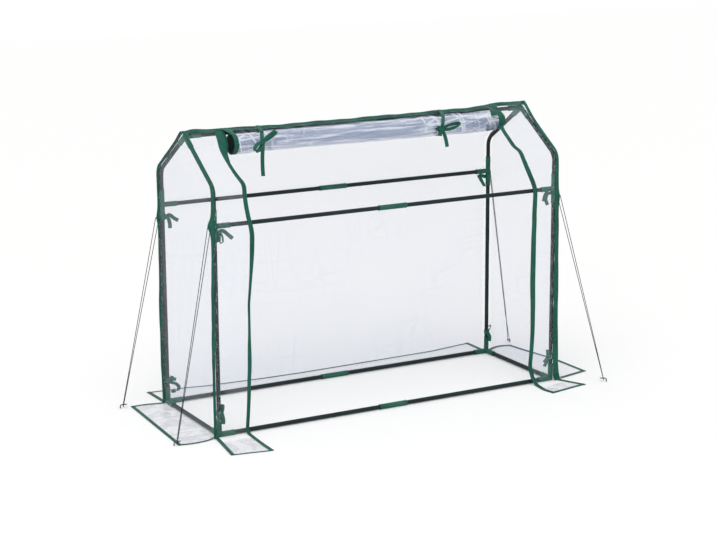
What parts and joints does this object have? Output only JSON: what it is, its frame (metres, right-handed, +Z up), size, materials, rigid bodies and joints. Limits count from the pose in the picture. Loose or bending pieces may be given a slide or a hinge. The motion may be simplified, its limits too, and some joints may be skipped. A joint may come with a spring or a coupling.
{
  "type": "plastic greenhouse",
  "caption": "Small walk-up garden greenhouse: push-fit tube frame with a gable roof, clear film cover with green bindings, roll-up front door, ground skirts and guy ropes.",
  "frame": {"origin": "on the ground, at the middle of the rectangular base frame", "axes": "+X along the ridge to the right as seen from the door side, +Y from the door side to the back, +Z up"},
  "size_m": [1.8568, 0.9018, 1.104],
  "materials": {
    "tube": "dark slate-green powder coat on thin steel tube",
    "connector": "moulded green plastic, satin",
    "film": "clear soft film with folds and glints",
    "binding": "sewn green tape",
    "ribbon": "green ribbon",
    "rope": "thin dark twisted cord",
    "peg": "dark bent wire"
  },
  "bodies": {
    "root": {"back_base_rail": "tube", "back_ground_flap": "film", "back_left_base_corner": "connector", "back_left_post": "tube", "back_left_rafter": "tube", "back_left_tee": "connector", "back_mid_rail": "tube", "back_right_base_corner": "connector", "back_right_post": "tube", "back_right_rafter": "tube", "back_right_tee": "connector", "back_roof_film": "film", "back_wall_film": "film", "corner_ties": "ribbon", "door_bindings": "binding", "door_ties": "ribbon", "front_base_rail": "tube", "front_left_base_corner": "connector", "front_left_film": "film", "front_left_ground_flap": "film", "front_left_post": "tube", "front_left_rafter": "tube", "front_left_tee": "connector", "front_mid_rail": "tube", "front_right_base_corner": "connector", "front_right_film": "film", "front_right_ground_flap": "film", "front_right_post": "tube", "front_right_rafter": "tube", "front_right_tee": "connector", "ground_pegs": "peg", "guy_ropes": "rope", "left_base_rail": "tube", "left_end_film": "film", "left_gable_binding": "binding", "left_ground_flap": "film", "left_ridge_corner": "connector", "rail_sleeves": "connector", "ridge_binding": "binding", "ridge_rail": "tube", "right_base_rail": "tube", "right_end_film": "film", "right_gable_binding": "binding", "right_ground_flap": "film", "right_ridge_corner": "connector", "rolled_door": "film"}
  },
  "joints": []
}
